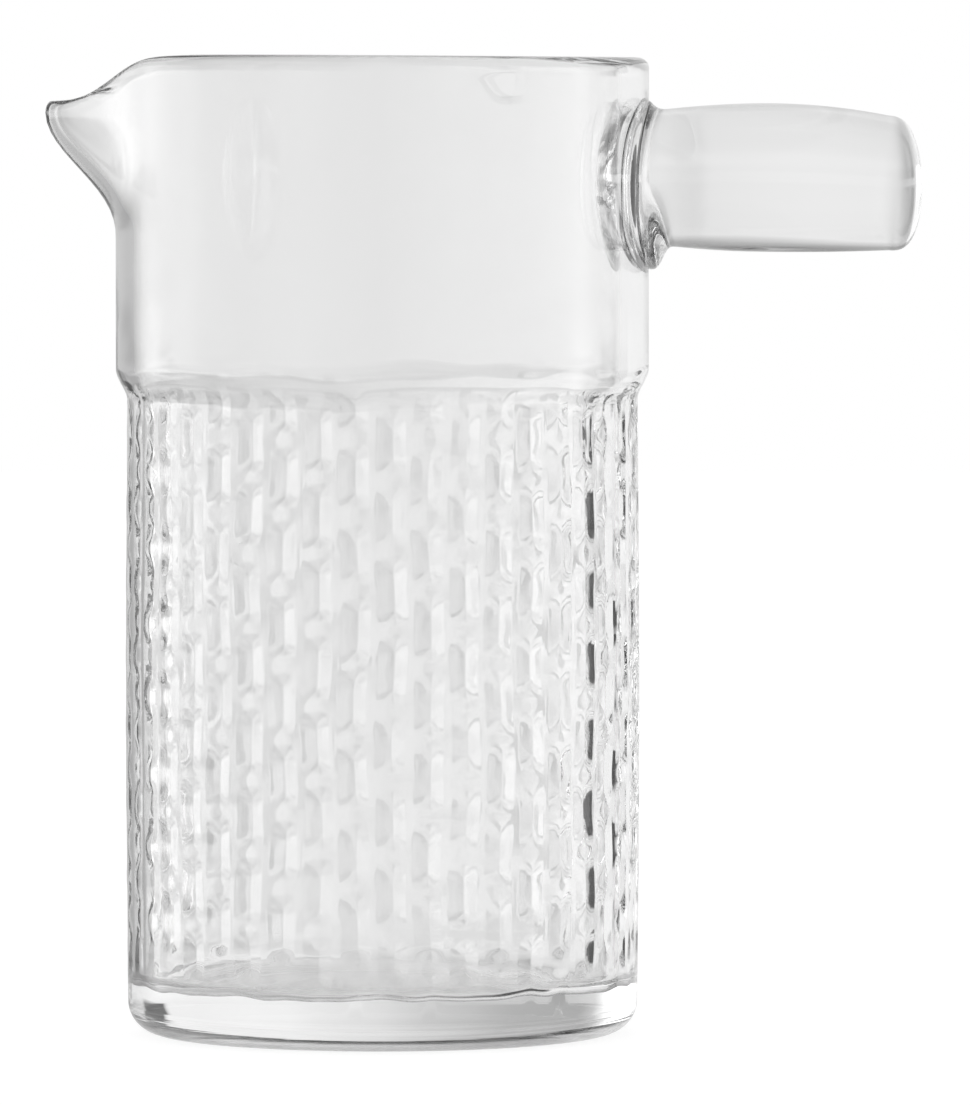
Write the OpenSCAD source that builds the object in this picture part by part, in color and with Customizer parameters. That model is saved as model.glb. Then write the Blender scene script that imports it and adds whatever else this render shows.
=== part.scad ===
// Glass water jug: a straight mould-blown vessel with a smooth collar, a pulled pouring lip,
// and a solid glass stub handle that is applied hot to the collar.
// Frame: origin at the centre of the ground base, +Z up, lip towards -X, handle towards +X.

/* [Vessel] */
// Height of the rim above the table
rim_h = 200; // [190:1:215]
// Outside diameter of the smooth collar
collar_d = 109; // [107:0.5:112]
// Outside diameter of the band below the collar
band_d = 104.4; // [102:0.2:105]
// How far the middle of the band swells beyond its two ends
band_swell = 0.4; // [0:0.1:0.6]
// Wall thickness of the collar
wall = 4.4; // [3.8:0.1:5.2]
// Thickness of the base
base_t = 10.8; // [8:0.2:14]
// Radius of the outer edge of the base
base_edge_r = 6.6; // [4:0.2:8]
// Radius of the inner corner between floor and wall
floor_corner_r = 5; // [3:0.5:8]
// Height at which the step out to the collar starts
step_z = 129.6; // [120:0.2:135]
// Height of the step
step_h = 6.4; // [5:0.2:9]
// Radius of the fire-polished rim
rim_r = 2; // [1.5:0.1:2.2]

/* [Pouring lip] */
// How far the tip of the lip stands out from the collar
lip_reach = 14.4; // [10:0.2:18]
// Height at which the lip starts to leave the collar
lip_start_z = 163; // [155:0.5:168]
// Height at which the lip reaches its tip
lip_tip_z = 188.5; // [184:0.5:190]
// Angle from the middle of the lip at which its reach has fallen to about a third
lip_spread = 12.5; // [10:0.5:14]
// Wall thickness at the tip of the lip
lip_wall = 3.2; // [2.8:0.1:4]
// How far the edge of the lip lies below the rim
lip_dip = 8.7; // [6:0.1:10]
// Horizontal run over which the rim curves down to the lip
lip_run = 15.5; // [12:0.5:18]

/* [Handle] */
// Greatest diameter of the handle
handle_d = 30.2; // [26:0.2:34]
// Distance from the vessel axis to the end of the handle
handle_end = 110.4; // [100:0.2:120]
// Distance from the vessel axis to the thickest point of the handle
handle_belly = 82; // [76:1:88]
// Radius of the long curve of the handle, from neck to end
handle_curve_r = 190; // [150:10:400]
// Height of the handle axis where it meets the collar
handle_z = 175.3; // [170:0.1:178]
// Droop of the handle towards its end, in degrees
handle_droop = 1.9; // [0:0.1:4]
// Radius of the rounded corner at the end of the handle
handle_corner_r = 3.2; // [2:0.2:5]
// Radius of the shallow dome that closes the end
handle_dome_r = 36; // [30:1:80]
// Diameter of the foot that spreads over the collar
foot_d = 34.6; // [32:0.2:37]
// Height of the middle of the foot
foot_z = 173.4; // [170:0.1:176]
// Thickness of the rim of the foot, from the collar outwards
foot_t = 2.2; // [1.5:0.1:3]
// Radius of the flare from the foot to the neck
foot_flare_r = 4.2; // [3:0.2:5]
// How far the hot handle pushed the collar wall into the bore
seat_depth = 4.4; // [3:0.2:5]
// Diameter of the bulge that it left there
seat_d = 34; // [28:1:36]

/* [Hidden] */
$fn = 96;

collar_r = collar_d / 2;
band_r = band_d / 2;
collar_bore_r = collar_r - wall;
band_bore_r = band_r - wall;
glass_clear = [0.86, 0.89, 0.9, 0.45];
glass_handle = [0.8, 0.84, 0.86, 0.55];

// Points on the arc of a circle from angle a to angle b, ends included
function arc(centre, radius, a, b, count = 8) =
    [for (i = [0 : count])
        let (t = a + (b - a) * i / count)
        centre + radius * [cos(t), sin(t)]];

// Smooth rise from 0 to 1 as t goes from 0 to 1, level at both ends
function ease(t) = t <= 0 ? 0 : t >= 1 ? 1 : (1 - cos(180 * t)) / 2;

// Radius of the lower wall: two straight ends with a slight swell between them, then the step
function lower_r(end_r, top_r, z) =
    z > step_z
    ? end_r + (top_r - end_r) * ease((z - step_z) / step_h)
    : end_r + band_swell * sin(180 * (z - base_edge_r) / (step_z - base_edge_r));

// Heights at which the lower wall is sampled, close together over the step
wall_heights = concat(
    [for (i = [1 : 8]) base_edge_r + (step_z - base_edge_r) * i / 8],
    [for (i = [1 : 8]) step_z + step_h * i / 8]);
bore_heights = [for (z = wall_heights) if (z > base_t + floor_corner_r + 2) z];

// Section of the glass from the axis out: base, outer wall, rim, bore and floor
vessel_section = concat(
    [[0, 0]],
    arc([band_r - base_edge_r, base_edge_r], base_edge_r, -90, 0),
    [for (z = wall_heights) [lower_r(band_r, collar_r, z), z]],
    arc([collar_r - rim_r, rim_h - rim_r], rim_r, 0, 90),
    arc([collar_bore_r + rim_r, rim_h - rim_r], rim_r, 90, 180),
    [for (i = [len(bore_heights) - 1 : -1 : 0])
        [lower_r(band_bore_r, collar_bore_r, bore_heights[i]), bore_heights[i]]],
    arc([band_bore_r - floor_corner_r, base_t + floor_corner_r], floor_corner_r, 0, -90, 6),
    [[0, base_t]]);

// The lip is shaped on rings of points at rising heights, within this angle of its middle
lip_half_angle = 26;
lip_angle_step = 2;
lip_levels = 15;
lip_angles = [for (a = [-lip_half_angle : lip_angle_step : lip_half_angle]) a];
lip_bottom_z = lip_start_z - 2;
lip_top_z = rim_h + 4;
// The lip surfaces start this far inside the wall, so that they cross it cleanly
lip_sink = 0.6;

// Share of the full reach at an angle from the middle of the lip
function lip_across(a) = exp(-pow(a / lip_spread, 2));

// Share of the full reach at a height: a slow start, then about 45 degrees, then upright at the tip
function lip_rise(z) =
    let (t = max(0, min(1, (z - lip_start_z) / (lip_tip_z - lip_start_z))))
    pow(sin(90 * pow(t, 1.1)), 2);

// Closed solid between a curved lip surface and a plain arc further in.
// wall_r is the wall that the surface leaves, back_r the arc behind it.
module lip_solid(wall_r, back_r, reach) {
    ring_n = 2 * len(lip_angles);
    function ring(z) = concat(
        [for (a = lip_angles)
            let (r = wall_r - lip_sink + (reach + lip_sink) * lip_across(a) * lip_rise(z))
            [-r * cos(a), -r * sin(a), z]],
        [for (i = [len(lip_angles) - 1 : -1 : 0])
            [-back_r * cos(lip_angles[i]), -back_r * sin(lip_angles[i]), z]]);
    points = [for (k = [0 : lip_levels])
        each ring(lip_bottom_z + (lip_top_z - lip_bottom_z) * k / lip_levels)];
    sides = [for (k = [0 : lip_levels - 1], i = [0 : ring_n - 1])
        let (a = k * ring_n + i, b = k * ring_n + (i + 1) % ring_n)
        each [[a, a + ring_n, b], [b, a + ring_n, b + ring_n]]];
    caps = [for (i = [0 : len(lip_angles) - 2])
        let (j = ring_n - 1 - i, top = lip_levels * ring_n)
        each [[i, i + 1, j], [i + 1, j - 1, j],
              [top + j, top + i + 1, top + i], [top + j, top + j - 1, top + i + 1]]];
    polyhedron(points = points, faces = concat(sides, caps));
}

// Everything above the edge of the lip, as seen from the side
lip_cut_x = collar_r - 7;
module lip_cut() {
    far_x = collar_r + lip_reach + 10;
    function edge_z(x) = rim_h - lip_dip * ease((x - lip_cut_x) / lip_run) - 0.12 * max(0, x - collar_r - 8);
    edge = [for (i = [0 : 14])
        let (x = lip_cut_x - 3 + (far_x - lip_cut_x + 3) * i / 14)
        [-x, i == 0 ? rim_h + 1 : edge_z(x)]];
    rotate([90, 0, 0])
        linear_extrude(height = 2 * collar_d, center = true)
            polygon(concat(edge, [[-far_x, lip_top_z + 10], [-lip_cut_x + 3, lip_top_z + 10]]));
}

// The bulge in the bore behind the handle: a cap of a sphere that ends inside the wall
module seat_bulge() {
    sphere_r = (pow(seat_d / 2, 2) + pow(seat_depth, 2)) / (2 * seat_depth);
    intersection() {
        translate([collar_bore_r - seat_depth + sphere_r, 0, foot_z]) sphere(r = sphere_r);
        cylinder(h = rim_h, r = collar_bore_r + wall / 2);
    }
}

// The blown vessel: one thick wall from the ground base to the rim, drawn out into the lip
module vessel() {
    color(glass_clear)
    difference() {
        union() {
            rotate_extrude() polygon(vessel_section);
            lip_solid(collar_r, collar_r - wall / 2, lip_reach);
            seat_bulge();
        }
        lip_solid(collar_bore_r, collar_bore_r - 5, lip_reach + wall - lip_wall);
        lip_cut();
    }
}

// Section of the handle about its own axis; the second number runs outwards from the vessel axis
handle_r = handle_d / 2;
handle_root = collar_r - 8;
function handle_radius(s) = handle_r - pow(s - handle_belly, 2) / (2 * handle_curve_r);
handle_shoulder = handle_end - handle_corner_r - 1.6;
handle_shoulder_r = handle_radius(handle_shoulder);
handle_section = concat(
    [[0, handle_root]],
    [for (i = [0 : 10])
        let (s = handle_root + (handle_shoulder - handle_root) * i / 10)
        [handle_radius(s), s]],
    arc([handle_shoulder_r - handle_corner_r, handle_shoulder], handle_corner_r, 12, 66, 5),
    [for (i = [3 : -1 : 0])
        let (r = (handle_shoulder_r - handle_corner_r) * i / 4)
        [r, handle_end - handle_dome_r + sqrt(pow(handle_dome_r, 2) - r * r)]]);

// Section of the foot: a disc with a rounded edge and a hollow flare down into the neck
foot_r = foot_d / 2;
foot_edge_r = 1.4;
foot_face = collar_r + foot_t;
foot_neck_r = handle_r - 1.9;
foot_section = concat(
    [[0, handle_root], [foot_r, handle_root]],
    arc([foot_r - foot_edge_r, foot_face - foot_edge_r], foot_edge_r, 0, 60, 4),
    arc([foot_neck_r + foot_flare_r, foot_face + foot_flare_r], foot_flare_r, 250, 180, 6),
    [[0, foot_face + foot_flare_r]]);

// The handle: one solid gather of glass, seated on the collar all round its foot
module handle() {
    color(glass_handle)
    difference() {
        union() {
            translate([0, 0, handle_z + collar_r * sin(handle_droop)])
                rotate([0, 90 + handle_droop, 0])
                    rotate_extrude() polygon(handle_section);
            translate([0, 0, foot_z])
                rotate([0, 90, 0])
                    rotate_extrude() polygon(foot_section);
        }
        cylinder(h = rim_h + 50, r = collar_r, $fn = 128);
    }
}

vessel();
handle();
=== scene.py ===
import math

import bpy
import numpy as np
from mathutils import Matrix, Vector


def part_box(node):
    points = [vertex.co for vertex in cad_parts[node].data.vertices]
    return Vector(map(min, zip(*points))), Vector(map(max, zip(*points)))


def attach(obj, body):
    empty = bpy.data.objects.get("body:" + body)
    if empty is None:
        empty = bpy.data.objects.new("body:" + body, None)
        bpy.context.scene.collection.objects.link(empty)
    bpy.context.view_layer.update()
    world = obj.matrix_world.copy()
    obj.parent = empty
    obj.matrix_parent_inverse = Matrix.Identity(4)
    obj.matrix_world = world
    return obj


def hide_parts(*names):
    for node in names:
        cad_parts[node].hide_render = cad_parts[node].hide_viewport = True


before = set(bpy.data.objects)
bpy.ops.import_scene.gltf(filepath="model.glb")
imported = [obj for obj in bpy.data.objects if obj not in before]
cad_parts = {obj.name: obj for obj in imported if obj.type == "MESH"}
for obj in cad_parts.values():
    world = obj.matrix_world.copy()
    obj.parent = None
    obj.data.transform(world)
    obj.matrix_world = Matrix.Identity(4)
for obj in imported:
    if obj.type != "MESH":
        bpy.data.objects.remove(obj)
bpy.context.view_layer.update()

# Vessel: one gather of clear glass blown into a cylindrical mould, which presses a wicker relief into the
# lower band. The collar above it is smooth, the rim is fire-polished, and the lip is pulled out of the hot
# rim with a tool. The base is thick and ground flat, and the bore has slow waves but not the relief.
scene = bpy.context.scene
mm = 0.001
vessel_low, vessel_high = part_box("vessel")
rim_z = vessel_high.z
collar_share = 54.5 / 200
collar_r = rim_z * collar_share
wall = 4.7 * mm
band_r = 52.2 * mm
band_swell = 0.4 * mm
base_edge_r = 6.8 * mm
base_t = 10.2 * mm

# Bore and floor: the bore stands a little off the axis, so the wall is thicker on the handle's side
bore_r = band_r - wall
bore_offset = 0.8 * mm
bore_wave = 0.10 * mm
bore_small_wave = 0.06 * mm
floor_dome = 1.5 * mm
floor_ripple = 0.4 * mm
floor_corner_r = 3.2 * mm
floor_corner_z = base_t + floor_corner_r

# Step from the band to the collar, with room below and above for its wandering height
step_z = 129.6 * mm
step_h = 6.4 * mm
step_wander = 0.8 * mm
step_foot = step_z - 1.0 * mm
step_top = step_z + step_h + 0.9 * mm

# Rim and lip: angles are measured from the middle of the lip
rim_round = 2.0 * mm
rim_tilt = 0.35 * mm
lip_reach = -vessel_low.x - collar_r
lip_start_z = 163 * mm
lip_tip_z = 188.5 * mm
lip_slow_start = 1.1
lip_spread = math.radians(12.5)
lip_wall = 2.7 * mm
lip_edge_swell = 0.25
lip_dip = 9.6 * mm
lip_dip_spread = math.radians(14.9)

# Bulge that the hot handle left in the bore
seat_z = 173.4 * mm
seat_depth = 4.4 * mm
seat_radius = 17 * mm
seat_softness = 0.004

# Slots of the wicker relief. Points lie on lines along a slot, given as shares of its half width
slot_columns = 44
slot_rows = 10
slot_pitch = 15.13 * mm
slot_first_z = 9.77 * mm
slot_stagger = 7.12 * mm
slot_turn = math.radians(270 + 2.45)
slot_left_w = 3.55 * mm
slot_right_w = 2.65 * mm
slot_half_l = 5.9 * mm
slot_end = 2.4 * mm
slot_depth = 0.48 * mm
slot_waist = 0.03
slot_waist_depth = 0.8
slot_end_depth = 0.45
slot_lines = np.array([0.06, 0.5, 0.9, 0.97, 1.03])
column_w = 2 * np.pi * band_r / slot_columns
relief_low_z = 13.2 * mm
relief_high_z = 132.5 * mm

# How far a slot may be off in place, length, width and depth, how its ends and edges wobble, and how the
# columns sway
odd_seed = 7
odd_most = 1.5
odd_up = 0.3 * mm
odd_aside = 0.1 * mm
odd_length = 0.05
odd_width = 0.02
odd_depth = 0.2
ragged_low = 1.2 * mm
ragged_high = 0.8 * mm
edge_wobble = 0.03
edge_wobble_run = 1.7 * mm
edge_wobble_shift = 2.4
sway_wide = 0.3 * mm
sway_wide_run = 11 * mm
sway_small = 0.2 * mm
sway_small_run = 6 * mm
sway_small_shift = 0.6

# How finely each stretch of the vessel is cut: points on a plain ring, and rings to a stretch
ring_points = (len(slot_lines) + 1) * slot_columns
first_turn = slot_turn - math.pi / slot_columns
base_shares = np.array([0.3, 0.6, 0.85, 0.97])
floor_shares = np.array([0.9, 0.75, 0.55, 0.35, 0.15])
relief_start_z = 12 * mm
relief_end_z = step_z + 4.4 * mm
base_edge_rings = 15
relief_rings = 117
step_rings = 6
collar_rings = 27
rim_rings = 11
collar_bore_rings = 42
step_bore_rings = 13
band_bore_rings = 12
floor_corner_rings = 7


def ease(t):
    """Rise from 0 to 1 as t goes from 0 to 1, level at both ends: half a cosine wave."""
    return 0.5 - 0.5 * np.cos(np.pi * np.clip(t, 0, 1))


def ripple(turn, count, shift):
    """Unevenness of up to about 1 round the turn: three sine waves, each one shorter and weaker."""
    second = 0.7 * np.sin((2 * count + 1) * turn - 2 * shift)
    third = 0.5 * np.sin((3 * count + 2) * turn + 3 * shift)
    return (np.sin(count * turn + shift) + second + third) / 2


def wicker_ring(z):
    """Angles and slot depths of one ring through the relief. A slot between the canes is a skew trough: its
    depth falls at an even slope from a middle line, gently to the left and steeply to the right, to round
    ends that are deeper than its waist. Slots stand in columns that sway a little, every second column
    about half a pitch higher, and each is slightly off in place, size and depth. A slot that crosses an end
    of the relief is cut short. Points lie close together at a slot's middle line and at its edges."""
    draw = np.random.default_rng(odd_seed)
    odd = draw.normal(0, 1, (5, slot_columns, slot_rows + 1))
    aside, above, wide, long, deep = np.clip(odd, -odd_most, odd_most)
    column = np.arange(slot_columns)
    lift = slot_first_z + slot_stagger * (1 - column % 2)
    row = (z - lift) / slot_pitch
    near = np.clip(np.round(row), 0, slot_rows - 1).astype(int)
    below = np.clip(np.floor(row), 0, slot_rows - 1).astype(int)
    share = ease(row - below)

    def drift(values):
        """A value of the slot below that turns into that of the slot above on the way up."""
        return values[column, below] * (1 - share) + values[column, below + 1] * share

    middle = lift + near * slot_pitch + odd_up * above[column, near]
    half_l = slot_half_l * (1 + odd_length * long[column, near])
    low = np.maximum(middle - half_l, relief_low_z + ragged_low * wide[:, 0])
    high = np.minimum(middle + half_l, relief_high_z + ragged_high * wide[:, 1])
    along = np.abs(z - (low + high) / 2)
    past_straight = np.maximum(along - (high - low) / 2 + slot_end, 0) / slot_end
    waist = slot_waist * np.cos(np.pi * np.clip(along / slot_half_l, 0, 1))
    wobble = edge_wobble * np.sin(z / edge_wobble_run + edge_wobble_shift * column)
    size = 1 - waist + odd_width * drift(wide) + wobble
    line = np.concatenate([-slot_lines[::-1], [0], slot_lines])
    flank_w = np.where(line < 0, slot_left_w, slot_right_w)
    across = size[:, None] * line * flank_w + (slot_left_w - slot_right_w) / 2
    trough = np.clip(1 - np.hypot(line, past_straight[:, None]), 0, 1)
    to_ends = slot_waist_depth + slot_end_depth * (along / slot_half_l) ** 2
    deepest = slot_depth * (1 + odd_depth * deep[column, near]) * to_ends
    depth = deepest[:, None] * trough
    sway = sway_wide * np.sin(z / sway_wide_run + column)
    sway = sway + sway_small * np.sin(z / sway_small_run - sway_small_shift * column)
    shift = sway + odd_aside * drift(aside)
    between = (shift + np.roll(shift, 1) - column_w) / 2
    across = np.insert(across + shift[:, None], 0, between, axis=1)
    turn = slot_turn + (column[:, None] * column_w + across) / band_r
    return turn.ravel(), np.insert(depth, 0, 0, axis=1).ravel()


def band_out(z):
    """Radius of the band: two straight ends with a slight swell between them, half a sine wave."""
    up = np.clip((z - base_edge_r) / (step_z - base_edge_r), 0, 1)
    return band_r + band_swell * np.sin(np.pi * up)


def step_out(turn, z):
    """Growth from band to collar, at a height that wanders a little round the turn."""
    return (collar_r - band_r) * ease((z - step_z - step_wander * ripple(turn, count=5, shift=1)) / step_h)


def bore_waves(turn, z):
    """Unevenness that blowing leaves in the bore: a few slow waves round it and up it."""
    up = z / step_z
    return bore_wave * np.sin(3 * turn + 5 * up) + bore_small_wave * np.sin(5 * turn - 9 * up + 1)


def from_lip(turn):
    """Angle from the middle of the lip, which points along -X."""
    return np.arctan2(-np.sin(turn), -np.cos(turn))


def lip_bell(turn):
    """Share of the lip's reach at an angle: a bell curve."""
    return np.exp(-(from_lip(turn) / lip_spread) ** 2)


def lip_growth(z):
    """Share of the lip's reach at a height: the square of a sine with a slow start."""
    up = np.clip((z - lip_start_z) / (lip_tip_z - lip_start_z), 0, 1)
    return np.sin(np.pi / 2 * up ** lip_slow_start) ** 2


def edge_round(turn):
    """Height of the round of the rim, a little fuller on the lip."""
    return rim_round * (1 + lip_edge_swell * lip_bell(turn))


def edge_z(turn):
    """Height at which the round of the rim starts. It dips in a broad flat curve at the lip, one over one
    plus a fourth power, and the whole rim tilts slightly down to the handle."""
    dip = lip_dip / (1 + (from_lip(turn) / lip_dip_spread) ** 4)
    return rim_z - edge_round(turn) - dip - rim_tilt * np.cos(turn)


def collar_out(turn, z):
    """Radius of the outside above the step: the collar, and the lip that grows out of it."""
    return collar_r + lip_reach * lip_bell(turn) * lip_growth(z)


def seat_bulge(turn, z):
    """Bulge that the hot handle pushes into the bore: a parabolic cap with a softened edge."""
    beside = np.arctan2(np.sin(turn), np.cos(turn)) * collar_r
    off = np.hypot(beside, z - seat_z) / seat_radius
    cap = 1 - off ** 2
    return seat_depth * 0.5 * (cap + np.sqrt(cap ** 2 + seat_softness))


def collar_in(turn, z):
    """Radius of the bore above the step: it follows the outside at an even distance square to it, less in
    the lip than in the wall, and bulges behind the handle. The lean of the outside is read off close by."""
    by_turn, by_z = 0.005, 0.1 * mm
    out = collar_out(turn, z)
    lean_turn = (collar_out(turn + by_turn, z) - collar_out(turn - by_turn, z)) / (2 * by_turn) / out
    lean_z = (collar_out(turn, z + by_z) - collar_out(turn, z - by_z)) / (2 * by_z)
    share = lip_bell(turn) * lip_growth(z)
    depth = (wall + bore_offset * np.cos(turn)) * (1 - share) + lip_wall * share
    return out - depth * np.sqrt(1 + lean_turn ** 2 + lean_z ** 2) - seat_bulge(turn, z)


def vessel_rings():
    """Rings of points from the middle of the base, up the outside, over the rim and down the bore to the
    floor. Each ring is a radius and a height that may change round the turn. The slots are sunk into the
    band on rings with twice the points, and the lip widens and lowers the rings of the collar."""
    rings = []
    turn = first_turn + np.arange(ring_points) / ring_points * 2 * np.pi
    off_axis = bore_offset * np.cos(turn)
    uneven = floor_ripple * ripple(turn, count=9, shift=3)
    rim = edge_z(turn)
    rim_out_r = collar_out(turn, rim)
    rim_in_r = collar_in(turn, rim)

    def ring(r, z, at=turn):
        rings.append(np.stack([r * np.cos(at), r * np.sin(at), z + 0 * at], axis=1))

    for share in base_shares:
        ring(share * (band_r - base_edge_r), 0)
    for a in np.linspace(np.pi / 2, 0, base_edge_rings)[:-1]:
        ring(band_r - base_edge_r * (1 - np.cos(a)), base_edge_r * (1 - np.sin(a)))
    for z in np.linspace(relief_start_z, relief_end_z, relief_rings):
        slots, depth = wicker_ring(z)
        ring(band_out(z) + step_out(slots, z) - depth, z, slots)
    for z in np.linspace(relief_end_z, step_top, step_rings)[1:-1]:
        ring(band_r + step_out(turn, z), z)
    for share in np.linspace(0, 1, collar_rings):
        z = step_top + (rim - step_top) * share
        ring(collar_out(turn, z), z)
    for a in np.linspace(0, np.pi, rim_rings)[1:-1]:
        r = (rim_out_r + rim_in_r) / 2 + (rim_out_r - rim_in_r) / 2 * np.cos(a)
        ring(r, rim + edge_round(turn) * np.sin(a))
    for share in np.linspace(1, 0, collar_bore_rings):
        z = step_top + (rim - step_top) * share
        ring(collar_in(turn, z), z)
    for z in np.linspace(step_top, step_foot, step_bore_rings)[1:]:
        share = (step_top - z) / (step_top - step_foot)
        ring(bore_r + step_out(turn, z) - off_axis + bore_waves(turn, z) * share, z)
    for share in np.linspace(1, 0, band_bore_rings)[1:]:
        z = floor_corner_z + (step_foot - floor_corner_z) * share
        ring(bore_r - off_axis + bore_waves(turn, z), z)
    for a in np.linspace(0, np.pi / 2, floor_corner_rings)[1:]:
        r = bore_r - floor_corner_r * (1 - np.cos(a))
        ring(r - off_axis * np.cos(a), floor_corner_z + (uneven - floor_corner_r) * np.sin(a))
    for share in floor_shares:
        z = base_t + floor_dome * (1 - share ** 2) + uneven * share ** 5
        ring(share * (bore_r - floor_corner_r), z)
    return rings, (0, 0, 0), (0, 0, base_t + floor_dome)


def closed_skin(name, rings, first, last):
    """Smooth closed mesh over a list of rings: quads between rings of one count, three triangles a step
    where one ring has twice the points of the other, and a fan to a point at each end."""
    counts = [len(ring) for ring in rings]
    starts = np.concatenate([[0], np.cumsum(counts)])
    points = np.concatenate(list(rings) + [[first, last]]).astype(np.float32)
    loops, sizes = [], []

    def add(*corners):
        faces = np.stack(corners, axis=-1)
        loops.append(faces.ravel())
        sizes.append(np.full(len(faces), faces.shape[1]))

    def fan(start, count, tip, turned):
        j = np.arange(count)
        a, b = start + j, start + (j + 1) % count
        if turned:
            a, b = b, a
        add(a, b, np.full(count, tip))

    for i in range(len(rings) - 1):
        low, high, n, m = starts[i], starts[i + 1], counts[i], counts[i + 1]
        j = np.arange(min(n, m))
        k = (j + 1) % min(n, m)
        if n == m:
            add(low + j, low + k, high + k, high + j)
        elif m == 2 * n:
            middle, end = high + 2 * j + 1, high + (2 * j + 2) % m
            add(low + j, middle, high + 2 * j)
            add(low + j, low + k, middle)
            add(low + k, end, middle)
        else:
            middle, end = low + 2 * j + 1, low + (2 * j + 2) % n
            add(low + 2 * j, middle, high + j)
            add(middle, high + k, high + j)
            add(middle, end, high + k)
    fan(starts[0], counts[0], starts[-1], True)
    fan(starts[-2], counts[-1], starts[-1] + 1, False)
    corners = np.concatenate(loops).astype(np.int32)
    sizes = np.concatenate(sizes)
    mesh = bpy.data.meshes.new(name)
    mesh.vertices.add(len(points))
    mesh.vertices.foreach_set("co", points.ravel())
    mesh.loops.add(len(corners))
    mesh.loops.foreach_set("vertex_index", corners)
    mesh.polygons.add(len(sizes))
    mesh.polygons.foreach_set("loop_start", (np.cumsum(sizes) - sizes).astype(np.int32))
    mesh.polygons.foreach_set("use_smooth", np.ones(len(sizes), dtype=bool))
    mesh.update(calc_edges=True)
    mesh.validate()
    piece = bpy.data.objects.new(name, mesh)
    scene.collection.objects.link(piece)
    return piece


def grey(level):
    """A neutral colour of one level."""
    return (level, level, level, 1)


class Value:
    """A shader socket that can be used in sums: each operator adds one Math node to its tree. Without a
    socket it only starts new nodes."""

    def __init__(self, tree, socket=None):
        self.tree = tree
        self.socket = socket

    def join(self, target, value):
        """Link a value to a socket, or set a plain number or colour on it."""
        if isinstance(value, Value):
            self.tree.links.new(value.socket, target)
        else:
            target.default_value = value

    def node(self, kind, settings=None, sockets=None, out=0):
        """Any node: its settings are set first, a ramp's stops as (place, level) pairs, and then its
        sockets by name or number. It comes back as one of its outputs, by name or number too."""
        made = self.tree.nodes.new(kind)
        for key, value in (settings or {}).items():
            if key == "stops":
                self.fill(made.color_ramp.elements, value)
            else:
                setattr(made, key, value)
        for key, value in (sockets or {}).items():
            self.join(made.inputs[key], value)
        return Value(self.tree, made.outputs[out])

    def fill(self, elements, stops):
        """Give a ramp its stops, which are in rising order."""
        while len(elements) < len(stops):
            elements.new(0.5)
        for element, (place, level) in zip(elements, stops):
            element.position = place
            element.color = grey(level)

    def math(self, operation, *values):
        """One Math node on one or more values."""
        return self.node("ShaderNodeMath", {"operation": operation}, dict(enumerate(values)))

    def __add__(self, other):
        return self.math("ADD", self, other)

    def __radd__(self, other):
        return self.math("ADD", other, self)

    def __sub__(self, other):
        return self.math("SUBTRACT", self, other)

    def __rsub__(self, other):
        return self.math("SUBTRACT", other, self)

    def __mul__(self, other):
        return self.math("MULTIPLY", self, other)

    def __rmul__(self, other):
        return self.math("MULTIPLY", other, self)


# Clear soda glass: its gloss changes by a trace, the cords start above the thick base, and what lies within
# a fraction of a millimetre of the table is ground
glass_bend = 1.5
gloss_change = 0.006
streak_scale = 38.0
cord_depth = 0.1 * mm
cords_from_z, cords_full_z = 12 * mm, 18 * mm
ground_roughness = 0.4
ground_full_z, ground_end_z = 0.1 * mm, 0.3 * mm


def clear_glass(name, tint_low, tint_high, cord_scale):
    """Clear soda glass: an almost neutral tint with faint streaks, a fire-polished skin whose gloss changes
    a little, and shallow cords that bend what is seen through it. The face that is ground flat is matt."""
    material = bpy.data.materials.new(name)
    material.use_nodes = True
    tree = material.node_tree
    place = Value(tree).node("ShaderNodeTexCoord", out="Object")
    up = place.node("ShaderNodeSeparateXYZ", {}, {"Vector": place}, "Z")
    streak = place.node("ShaderNodeTexNoise", {}, {"Vector": place, "Scale": streak_scale, "Detail": 3.0})
    cords = place.node("ShaderNodeTexNoise", {}, {"Vector": place, "Scale": cord_scale, "Detail": 1.0})
    blown = place.node("ShaderNodeMapRange", {},
                       {"Value": up, "From Min": cords_from_z, "From Max": cords_full_z})
    ground = place.node("ShaderNodeMapRange", {},
                        {"Value": up, "From Min": ground_end_z, "From Max": ground_full_z,
                         "To Max": ground_roughness})
    tint = place.node("ShaderNodeMix", {"data_type": "RGBA"},
                      {"Factor": streak, "A": grey(tint_low), "B": grey(tint_high)}, "Result")
    bump = place.node("ShaderNodeBump", {},
                      {"Strength": 1.0, "Distance": cord_depth, "Height": cords * blown}, "Normal")
    shader = tree.nodes["Principled BSDF"].inputs
    place.join(shader["Base Color"], tint)
    place.join(shader["Roughness"], streak * gloss_change + ground)
    place.join(shader["Normal"], bump)
    shader["IOR"].default_value = glass_bend
    shader["Transmission Weight"].default_value = 1.0
    return material


vessel = closed_skin("vessel_glass", *vessel_rings())
vessel.data.materials.append(clear_glass("blown_glass", tint_low=0.962, tint_high=0.978, cord_scale=55.0))
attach(vessel, "root")
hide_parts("vessel")

# Handle: a solid gather of the same glass, drawn to a barrel, fire-polished to a shallow dome at its end
# and applied hot to the collar opposite the lip. Its foot spreads over the collar, thickest underneath
# where the glass sagged.
handle_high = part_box("handle")[1]
handle_end = handle_high.x
handle_z = 175.1 * mm
droop = 1.5 * mm
droop_start_x = 75 * mm
droop_run = 33 * mm
belly_x = 80 * mm
belly_r = 15.2 * mm
barrel_curve = 195 * mm
dome_depth = 7.0 * mm
dome_power = 2.8
shoulder = handle_end - dome_depth

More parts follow.
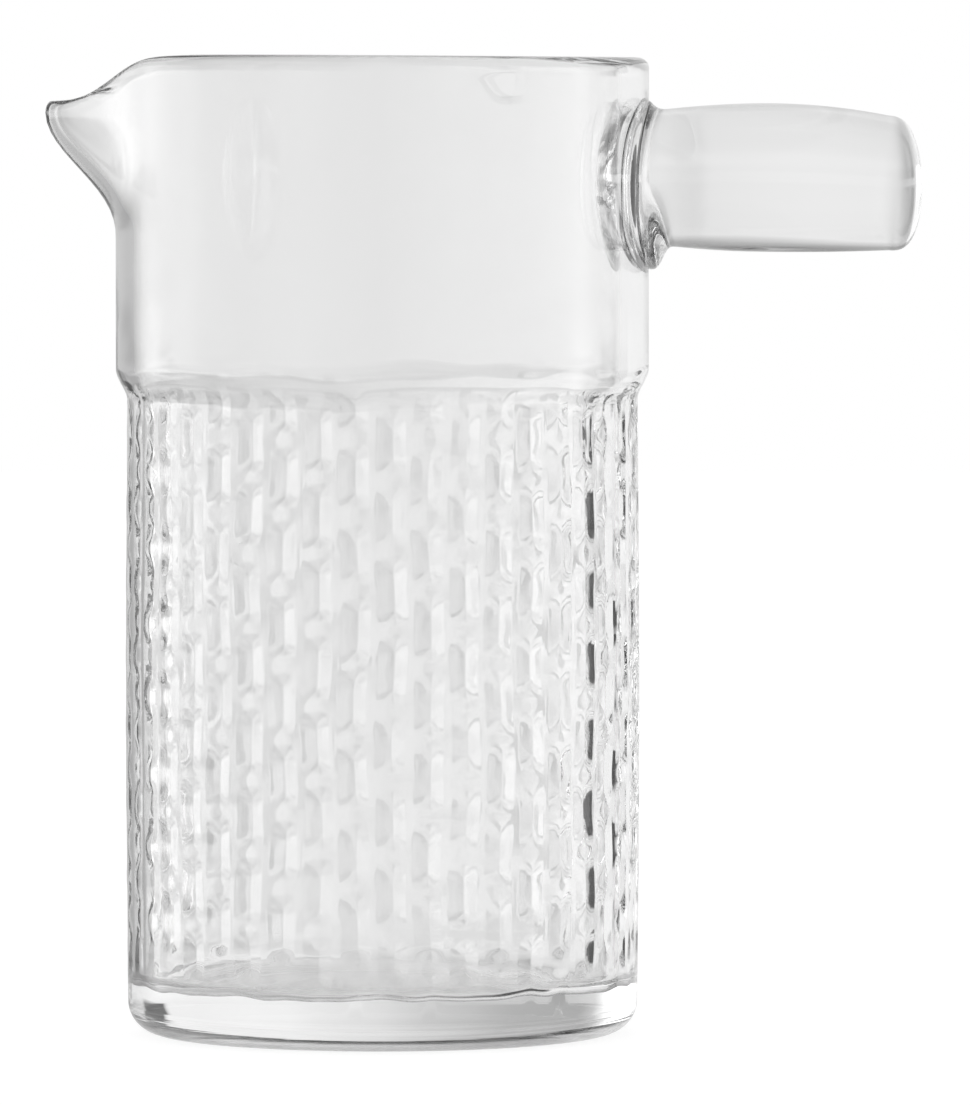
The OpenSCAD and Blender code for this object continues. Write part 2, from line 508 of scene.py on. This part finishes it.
# Foot: how far it sinks into the collar, its fillet above, its bead below and its run on to the barrel
foot_sink = 1.2 * mm
foot_r = collar_r - foot_sink
foot_length = 6 * mm
fillet = 2.2 * mm
fillet_run = 1.4 * mm
fillet_fall = 1.5
bead = 5.2 * mm
bead_run = 3.15 * mm
bead_fall = 3.5
saddle_run = 9 * mm

# Sides: they stand out from the barrel, a little more over the foot, and widen towards the end
side_out = 0.4 * mm
side_foot_out = 0.6 * mm
side_foot_x = collar_r + 3.5 * mm
side_foot_run = 9 * mm
side_widen = 1.8 * mm
side_widen_x = 68 * mm
side_widen_run = 42 * mm

# Marks of drawing: their depth, where they start along the underside and how far round it they reach
mark_depth = 0.10 * mm
mark_start_x = 62 * mm
mark_start_run = 12 * mm
mark_wander_run = 13 * mm
mark_turn_run = 9 * mm
mark_reach = -0.4
mark_fade = 0.5

# How finely the handle is cut: points on a ring, and rings to a stretch
handle_points = 112
seat_shares = np.array([0.15, 0.3, 0.45, 0.6, 0.75, 0.88])
foot_rings = 22
barrel_rings = 40
dome_rings = 18
round_handle = np.arange(handle_points) / handle_points * 2 * np.pi


def handle_axis_z(x):
    """Height of the handle's axis: level, then a parabola that droops towards the end."""
    return handle_z - droop * np.clip((x - droop_start_x) / droop_run, 0, 2) ** 2


def barrel(x):
    """Radius of the barrel above and below its axis: a parabola that is thickest at the belly."""
    return belly_r - (x - belly_x) ** 2 / (2 * barrel_curve)


def foot_spread(d):
    """What the foot adds at a distance from the collar: a small fillet above, which falls off at once, and
    a broad bead below, which holds its height and then drops. Both are stretched bell curves."""
    d = max(d, 0)
    above = np.clip(np.cos(round_handle), 0, 1) ** 2
    below = ease(-np.cos(round_handle))
    upper = fillet * np.exp(-(d / fillet_run) ** fillet_fall) * above
    lower = bead * np.exp(-(d / bead_run) ** bead_fall) * below
    return upper + lower


def side_spread(x):
    """What the sides add to the barrel: they run straight, stand out a little over the foot and widen to
    the end. It fades out to the top and the bottom as the square of a sine."""
    straight = belly_r + side_out - barrel(x)
    over_foot = side_foot_out * (1 - ease((x - side_foot_x) / side_foot_run))
    widen = side_widen * ease((x - side_widen_x) / side_widen_run)
    return (straight + over_foot + widen) * np.sin(round_handle) ** 2


def draw_marks(x):
    """Shallow marks that drawing the glass leaves along the underside: two sine waves round the barrel that
    wander along it."""
    wander = np.sin(x / mark_wander_run)
    first = np.sin(11 * round_handle + wander)
    second = 0.8 * np.sin(17 * round_handle - 1.3 * wander + x / mark_turn_run)
    under = ease((mark_reach - np.cos(round_handle)) / mark_fade)
    return mark_depth * (first + second) * under * ease((x - mark_start_x) / mark_start_run)


def handle_rings():
    """Rings round the handle's axis, from a point inside the foot, over the seat on the collar, along the
    barrel and over the dome. The radius is that of the barrel with what its sides, its foot and the marks
    add. Rings near the collar are bent to its curve, and the dome closes as a root of one minus a power."""
    rings = []

    def ring(x, r, z):
        across = -r * np.sin(round_handle)
        rings.append(np.stack([x + 0 * across, across, z + r * np.cos(round_handle)], axis=1))

    root_r = barrel(collar_r) + foot_spread(0) + side_spread(collar_r)
    for share in seat_shares:
        r = root_r * share
        ring(np.sqrt(foot_r ** 2 - (r * np.sin(round_handle)) ** 2), r, handle_z)
    along_foot = np.linspace(-foot_sink, foot_length, foot_rings)
    along_barrel = np.linspace(foot_length, shoulder - collar_r, barrel_rings)[1:]
    for d in np.concatenate([along_foot, along_barrel]):
        x = collar_r + d
        r = barrel(x) + foot_spread(d) + side_spread(x) + draw_marks(x)
        across = np.minimum(r, collar_r) * np.sin(round_handle)
        saddle = collar_r - np.sqrt(collar_r ** 2 - across ** 2)
        ring(x - saddle * (1 - ease(d / saddle_run)), r, handle_axis_z(x))
    shoulder_r = barrel(shoulder) + side_spread(shoulder) + draw_marks(shoulder)
    for share in np.sin(np.linspace(0, np.pi / 2, dome_rings))[1:-1]:
        x = shoulder + dome_depth * share
        ring(x, shoulder_r * (1 - share ** dome_power) ** 0.5, handle_axis_z(x))
    return rings, (foot_r, 0, handle_z), (handle_end, 0, handle_axis_z(handle_end))


handle = closed_skin("handle_glass", *handle_rings())
handle.data.materials.append(clear_glass("drawn_glass", tint_low=0.994, tint_high=0.999, cord_scale=40.0))
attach(handle, "root")
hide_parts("handle")

# Stage: a pale seamless table that keeps a faint shadow, in a studio of soft panels and grey flags that
# stand round the jug. The camera sees table and backdrop as white; the glass sees the panels and flags.
floor_drop = 0.2 * mm
floor_half = 3.0
floor_white = 0.9
floor_grey = 0.2
plain_light = 0.75
corner = np.array([[-1, -1], [1, -1], [1, 1], [-1, 1]]) * floor_half
floor_mesh = bpy.data.meshes.new("floor")
floor_mesh.from_pydata([(x, y, -floor_drop) for x, y in corner.tolist()], [], [(0, 1, 2, 3)])
floor = bpy.data.objects.new("floor", floor_mesh)
scene.collection.objects.link(floor)


def ray_masks(tree):
    """Masks of the rays straight from the camera, and of those that come by way of the glass."""
    start = Value(tree)
    seen, mirrored, bent = (start.node("ShaderNodeLightPath", out="Is " + kind + " Ray")
                            for kind in ("Camera", "Glossy", "Transmission"))
    return seen, start.math("MAXIMUM", mirrored, bent)


floor_paint = bpy.data.materials.new("floor_paint")
floor_paint.use_nodes = True
floor_tree = floor_paint.node_tree
floor_tree.nodes.remove(floor_tree.nodes["Principled BSDF"])
to_camera, through_glass = ray_masks(floor_tree)
floor_glow = to_camera.node("ShaderNodeEmission", {}, {"Color": to_camera * floor_white})
floor_matt = to_camera.node("ShaderNodeBsdfDiffuse", {}, {"Color": grey(floor_grey)})
floor_seen = to_camera.node("ShaderNodeAddShader", {}, {0: floor_glow, 1: floor_matt})
floor_open = to_camera.node("ShaderNodeBsdfTransparent")
floor_both = to_camera.node("ShaderNodeMixShader", {}, {0: through_glass, 1: floor_seen, 2: floor_open})
to_camera.join(floor_tree.nodes["Material Output"].inputs["Surface"], floor_both)
floor_mesh.materials.append(floor_paint)

# Brightness of what stands round the jug, by compass angle in degrees to the right of straight behind it:
# a bright panel at the left, a backdrop that is lit from the right, a black flag at its right edge with a
# dim side beyond it, and a softer panel behind the camera
left_panel = [(-144, 2.0), (-110, 2.4), (-86, 2.4), (-60, 2.5), (-50, 1.2), (-45, 0.6)]
backdrop = [(-40, 0.40), (-34, 0.40), (-27, 0.43), (-21, 0.46), (-16, 0.51), (-11, 0.575), (-7, 0.63),
            (-3, 0.70), (0, 0.755), (3, 0.795), (8, 0.85), (14, 0.93), (38, 0.95), (46, 0.95)]
right_side = [(47.5, 0.08), (59, 0.08), (62, 0.8), (75, 0.8), (84, 0.2), (110, 0.3), (144, 0.8)]
panorama = [(-180, 1.2)] + left_panel + backdrop + right_side + [(180, 1.2)]

# The same in a narrow ring at eye level, which has no black flag and a softer edge to the panel
eye_left = [(-144, 2.0), (-110, 2.4), (-86, 2.4), (-60, 1.9), (-50, 1.2), (-45, 0.65)]
eye_backdrop = [(-36, 0.53), (-27, 0.56), (-20, 0.58), (-14, 0.58), (-8, 0.65), (-3, 0.70), (0, 0.755),
                (8, 0.85), (14, 0.91), (75, 0.9)]
eye_right = [(90, 0.5), (110, 0.4), (144, 0.8)]
eye_level = [(-180, 1.2)] + eye_left + eye_backdrop + eye_right + [(180, 1.2)]

# The same on the table, where soft panels and grey gaps take turns all round
table = [(-180, 0.9), (-150, 0.5), (-120, 0.95), (-90, 0.5), (-64, 0.9), (-40, 0.47), (-20, 0.48),
         (-8, 0.66), (0, 0.78), (8, 0.86), (43, 0.93), (47, 0.08), (60, 0.08), (66, 0.5), (90, 0.9),
         (115, 0.5), (140, 0.9), (160, 0.55), (180, 0.9)]

# Share of the light by height, in degrees from straight down to straight up, and the heights at which the
# ring, the table and the bright panels begin and end
ceiling = [(-90, 0.75), (-62, 0.75), (-50, 1.0), (38, 1.0), (48, 0.45), (60, 0.18), (90, 0.18)]
eye_ring_middle = 0.3
eye_ring_edge = (2.4, 1.5)
table_edge = (-5.5, -8.5)
panel_top = (5, 11)
panel_most = (2.5, 0.95)


def light_ramp(share, stops):
    """Brightness read off (degrees, level) stops by a share that is 0 at the first and 1 at the last."""
    start, end = stops[0][0], stops[-1][0]
    places = [((angle - start) / (end - start), level) for angle, level in stops]
    return share.node("ShaderNodeValToRGB", {"stops": places}, {"Fac": share}, "Color")


def by_height(up, degrees, levels=(0, 1)):
    """Value that goes from one level to another between two heights, given in degrees above the horizon."""
    low, high = (math.sin(math.radians(angle)) for angle in degrees)
    return up.node("ShaderNodeMapRange", {}, {"Value": up, "From Min": low, "From Max": high,
                                              "To Min": levels[0], "To Max": levels[1]})


studio = bpy.data.worlds.new("studio")
scene.world = studio
studio.use_nodes = True
sky = studio.node_tree
way = Value(sky).node("ShaderNodeTexCoord", out="Generated")
east, north, up = (way.node("ShaderNodeSeparateXYZ", {}, {"Vector": way}, axis) for axis in "XYZ")
turn_share = way.math("ARCTAN2", east, north) * (0.5 / math.pi) + 0.5
height_share = way.math("ARCSINE", up) * (1 / math.pi) + 0.5
off_level = way.math("ABSOLUTE", up - math.sin(math.radians(eye_ring_middle)))
at_eye = by_height(off_level, eye_ring_edge)
on_table = by_height(up, table_edge)
panels = way.math("MINIMUM", light_ramp(turn_share, panorama), by_height(up, panel_top, panel_most))
standing = panels * (1 - at_eye) + light_ramp(turn_share, eye_level) * at_eye
all_round = standing * (1 - on_table) + light_ramp(turn_share, table) * on_table
glow = all_round * light_ramp(height_share, ceiling)
to_camera, through_glass = ray_masks(sky)
level = to_camera + through_glass * glow + (1 - to_camera) * (1 - through_glass) * plain_light
way.join(sky.nodes["Background"].inputs["Color"], level)

# Camera: about level with the rim and far back, so that the rim shows as a line and the base as a shallow
# curve. The jug's axis, rim and base are put at their pixels of the photograph's frame.
pixels_wide, pixels_high = 970, 1105
axis_pixel_x = 382.5
rim_pixel_y, base_pixel_y = 56, 1033
eye_distance = 2.3
eye_z = 203 * mm
sensor = 36
pixel = rim_z / (base_pixel_y - rim_pixel_y)
aim_x = (pixels_wide / 2 - axis_pixel_x) * pixel
aim_z = (base_pixel_y - pixels_high / 2) * pixel
camera_data = bpy.data.cameras.new("camera")
camera = bpy.data.objects.new("camera", camera_data)
scene.collection.objects.link(camera)
scene.camera = camera
tilt = math.atan2(eye_z - aim_z, eye_distance)
camera.location = (aim_x, -eye_distance, eye_z)
camera.rotation_euler = (math.pi / 2 - tilt, 0, 0)
camera_data.sensor_width = sensor
camera_data.lens = sensor * math.hypot(eye_distance, eye_z - aim_z) / (pixels_high * pixel)
camera_data.clip_end = 20

# Render settings: light has to pass through many faces of glass
scene.view_settings.view_transform = "Standard"
scene.cycles.max_bounces = 32
scene.cycles.transmission_bounces = 32
scene.cycles.glossy_bounces = 16
